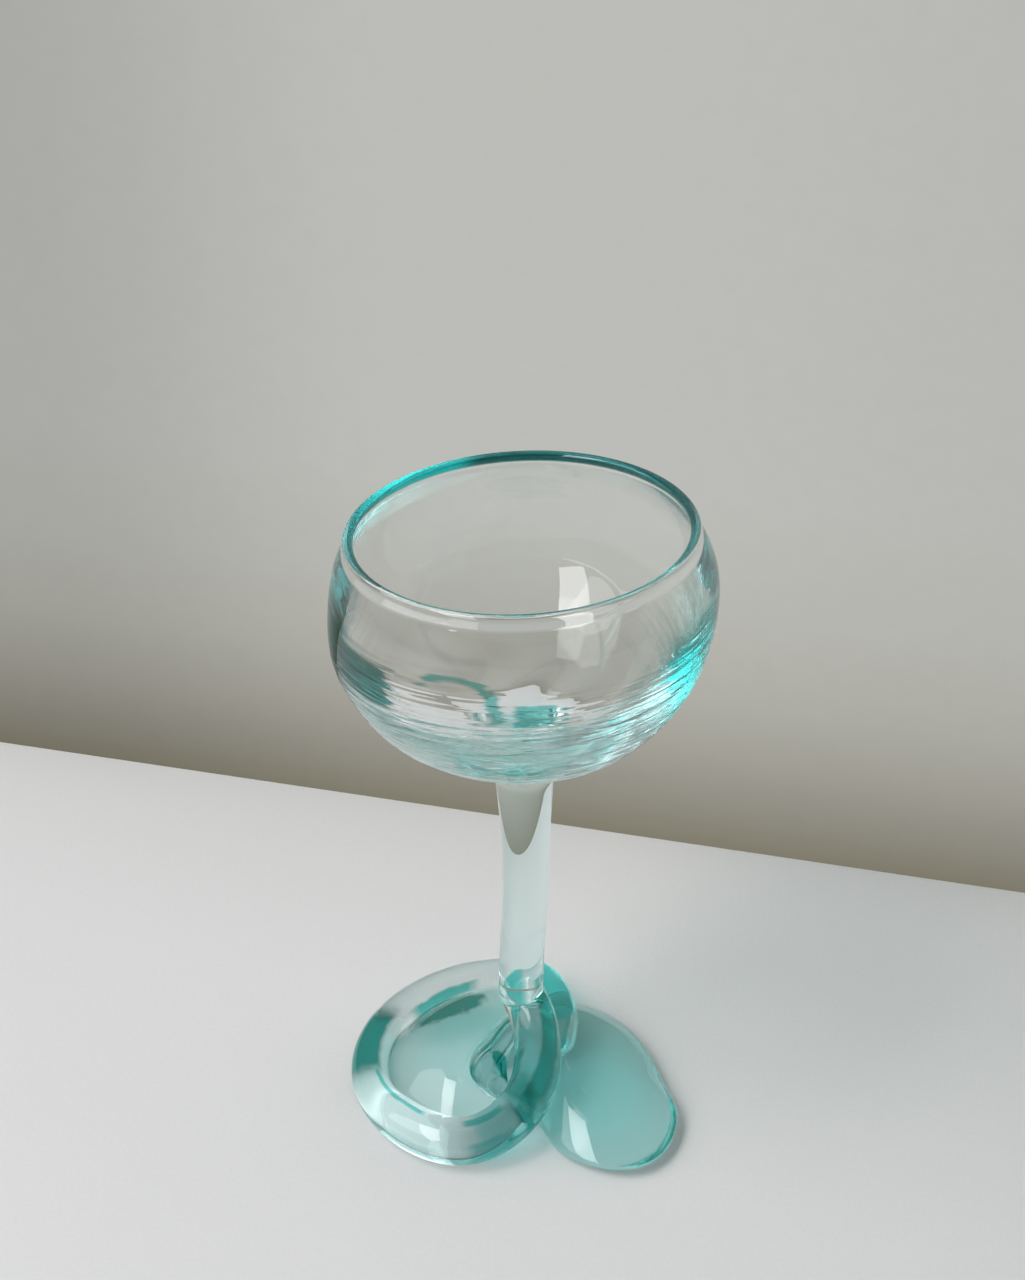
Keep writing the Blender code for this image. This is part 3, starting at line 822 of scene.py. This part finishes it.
class GLASS_OT_stage(bpy.types.Operator):
    """Set the camera, the table, the wall and the window light"""

    bl_idname = "glass.stage"
    bl_label = "Table and light"

    def execute(self, context):
        scene, looks = context.scene, context.scene.glass_looks
        camera = bpy.data.objects.new("camera", bpy.data.cameras.new("camera"))
        scene.collection.objects.link(camera)
        camera.data.sensor_width = 36.0
        camera.data.lens = FOCAL / PHOTO[1] * camera.data.sensor_width
        camera.data.clip_start = 0.01
        camera.location = EYE
        camera.rotation_euler.x = math.pi / 2 - PITCH
        scene.camera = camera

        # Table top back to its far edge, and the wall that stands on that edge
        left, right = (self.on_table(*pixel) for pixel in TABLE_EDGE)
        along = unit(right - left)
        toward = np.array([along[1], -along[0], 0.0])
        toward *= -np.sign(toward[1])
        left, right = left - SPREAD * along, right + SPREAD * along
        floor = self.sheet("table_top", [left, left + SPREAD * toward, right + SPREAD * toward, right])
        tall = np.array([0.0, 0.0, SPREAD])
        wall = self.sheet("wall", [left, right, right + tall, left + tall])
        floor.data.materials.append(self.table_paint(looks.table))
        wall.data.materials.append(self.wall_paint())

        # The window is hidden from rays that came through glass, which see only its dimmer haze
        scene.world = self.room()
        pane = self.window("window", *WINDOW, away=1.7, width=0.46, power=8.0)
        self.window("blind", *BLIND, away=1.75, width=1.20, power=11.0)
        pane.visible_transmission = False
        self.window("window_haze", *WINDOW, away=1.71, width=0.46, power=6.0)
        scene.view_settings.view_transform = "Standard"
        scene.cycles.max_bounces = BOUNCES
        scene.cycles.transmission_bounces = BOUNCES
        scene.cycles.glossy_bounces = BOUNCES
        return {"FINISHED"}

    def on_table(self, u, v):
        """Point of the table under a pixel: the eye's ray through it, carried down to z = 0."""
        across, above = (u - PHOTO[0] / 2) / FOCAL, (PHOTO[1] / 2 - v) / FOCAL
        c, s = math.cos(PITCH), math.sin(PITCH)
        ray = np.array([across, c + above * s, above * c - s])
        return EYE - ray * EYE[2] / ray[2]

    def sheet(self, name, corners):
        """Flat four-cornered sheet."""
        mesh = bpy.data.meshes.new(name)
        mesh.from_pydata([tuple(c) for c in corners], [], [(0, 1, 2, 3)])
        made = bpy.data.objects.new(name, mesh)
        bpy.context.scene.collection.objects.link(made)
        return made

    def table_paint(self, colour):
        """Painted table: a fine grain over broad wear, and dents of the same grain."""
        made, shader, wire = material("painted_table")
        place = wire.node("ShaderNodeTexCoord", output="Object")
        grain = wire.node("ShaderNodeTexNoise", {"Vector": place, "Scale": 900.0, "Detail": 3.0})
        worn = wire.node("ShaderNodeTexNoise", {"Vector": place, "Scale": 14.0, "Detail": 4.0})
        dark, pale = (tuple(share * np.array(colour)) + (1.0,) for share in (0.94, 1.06))
        paint = (grain * 0.7 + worn * 0.3).mix(dark, pale)
        dents = wire.node("ShaderNodeBump", {"Strength": 0.12, "Distance": 0.0004, "Height": grain})
        wire.tree.links.new(paint.socket, shader.inputs["Base Color"])
        wire.tree.links.new(dents.socket, shader.inputs["Normal"])
        shader.inputs["Roughness"].default_value = 0.6
        return made

    def wall_paint(self):
        """Wall with its own light, and painted shade that darkens it toward the table and to the left, and
        clear from behind.
        """
        made, shader, wire = material("wall_paint")
        tree = made.node_tree
        place = wire.node("ShaderNodeTexCoord", output="Object")
        height = wire.node("ShaderNodeSeparateXYZ", {0: place}, output="Z")
        shade = height * (1.0 / WALL_FADE)
        paint = wire.node("ShaderNodeValToRGB", {0: shade}, stops=[
            (0.0, (0.216, 0.202, 0.150)), (0.125, (0.275, 0.262, 0.223)), (0.28, (0.352, 0.342, 0.301)),
            (0.44, (0.418, 0.413, 0.371)), (0.69, (0.468, 0.468, 0.434)), (1.0, (0.491, 0.497, 0.468))])
        across = wire.node("ShaderNodeSeparateXYZ", {0: place}, output="X")
        skim = wire.node("ShaderNodeTexNoise", {"Vector": place, "Scale": 160.0, "Detail": 3.0})
        light = across.ramp(-0.15, -0.03, 0.82, 1.02) * across.ramp(0.03, 0.15, 1.0, 0.95)
        light = light * (skim * 0.05 + 0.975)
        paint = wire.node("ShaderNodeVectorMath", {0: paint, "Scale": light}, operation="SCALE")
        glow = wire.node("ShaderNodeEmission", {0: paint})
        clear = wire.node("ShaderNodeBsdfTransparent")
        behind = wire.node("ShaderNodeNewGeometry", output="Backfacing")
        mixed = wire.node("ShaderNodeMixShader", {0: behind, 1: glow, 2: clear})
        tree.links.new(mixed.socket, tree.nodes["Material Output"].inputs["Surface"])
        tree.nodes.remove(shader)
        return made

    def room(self):
        """Dim room: bright toward the windows on the left, dark on the right."""
        made = bpy.data.worlds.new("room")
        made.use_nodes = True
        tree = made.node_tree
        wire = Wire(tree)
        toward = wire.node("ShaderNodeTexCoord", output="Generated")
        facing = wire.node("ShaderNodeVectorMath", {0: toward, 1: (-0.75, 0.15, 0.64)}, output="Value",
                           operation="DOT_PRODUCT")
        paint = facing.ramp(-0.7, 0.95).mix((0.06, 0.061, 0.063, 1.0), (0.26, 0.262, 0.266, 1.0))
        tree.links.new(paint.socket, tree.nodes["Background"].inputs[0])
        return made

    def window(self, name, foot, head, away, width, power):
        """Pane of light that leans from one bearing to another, at a distance from the origin."""
        def corner(turn, lift):
            turn, lift = math.radians(turn), math.radians(lift)
            level = math.cos(lift)
            return Vector((-math.sin(turn) * level, -math.cos(turn) * level, math.sin(lift))) * away

        low, high = corner(*foot), corner(*head)
        lamp = bpy.data.lights.new(name, "AREA")
        lamp.shape, lamp.size, lamp.size_y, lamp.energy = "RECTANGLE", width, (high - low).length, power
        made = bpy.data.objects.new(name, lamp)
        bpy.context.scene.collection.objects.link(made)
        up = (high - low).normalized()
        back = (low + high) / 2
        back = (back - up * back.dot(up)).normalized()
        turned = Matrix((up.cross(back), up, back)).transposed().to_4x4()
        made.matrix_world = Matrix.Translation((low + high) / 2) @ turned
        return made


class GLASS_PT_panel(bpy.types.Panel):
    """Sizes, colours and building steps"""

    bl_idname = "GLASS_PT_panel"
    bl_label = "Coupe glass"
    bl_space_type = "VIEW_3D"
    bl_region_type = "UI"
    bl_category = "Glass"

    def draw(self, context):
        for step in OPERATORS:
            self.layout.operator(step.bl_idname)
        for group in (context.scene.bowl_sizes, context.scene.foot_sizes, context.scene.glass_looks):
            box = self.layout.box()
            for name in group.__annotations__:
                box.prop(group, name)


GROUPS = {"bowl_sizes": BowlSizes, "foot_sizes": FootSizes, "glass_looks": GlassLooks}
OPERATORS = (GLASS_OT_bowl, GLASS_OT_loop, GLASS_OT_lobe, GLASS_OT_disc, GLASS_OT_stage)


def register():
    for name, group in GROUPS.items():
        bpy.utils.register_class(group)
        setattr(bpy.types.Scene, name, bpy.props.PointerProperty(type=group))
    for step in OPERATORS + (GLASS_PT_panel,):
        bpy.utils.register_class(step)


def unregister():
    for step in (GLASS_PT_panel,) + OPERATORS[::-1]:
        bpy.utils.unregister_class(step)
    for name, group in GROUPS.items():
        delattr(bpy.types.Scene, name)
        bpy.utils.unregister_class(group)


def main():
    register()
    for step in OPERATORS:
        group, name = step.bl_idname.split(".")
        getattr(getattr(bpy.ops, group), name)()


if __name__ == "__main__":
    main()
